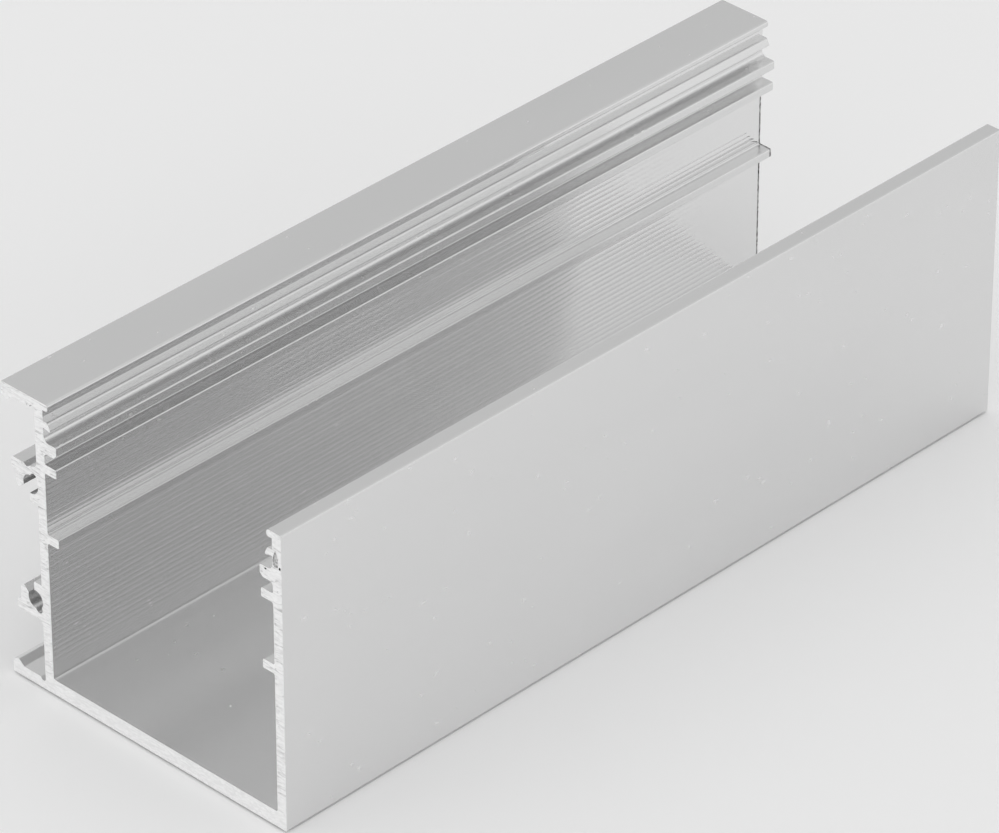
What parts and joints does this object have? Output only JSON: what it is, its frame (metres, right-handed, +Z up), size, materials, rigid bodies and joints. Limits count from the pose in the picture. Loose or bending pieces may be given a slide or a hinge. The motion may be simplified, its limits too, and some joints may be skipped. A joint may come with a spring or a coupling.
{
  "type": "aluminium channel profile",
  "caption": "Short sawn length of extruded aluminium channel with slide-in slots and snap ribs inside, and a flange, ledge and open screw ports on one side.",
  "frame": {"origin": "on the underside of the base, midway between the two walls and midway along the length", "axes": "+X across the channel towards the plain wall, +Y along the extrusion, +Z up out of the open side"},
  "size_m": [0.0367, 0.098, 0.0326],
  "materials": {
    "anodised_aluminium": "satin anodised, sawn bright at the ends"
  },
  "bodies": {
    "root": {"channel_profile": "anodised_aluminium"}
  },
  "joints": []
}
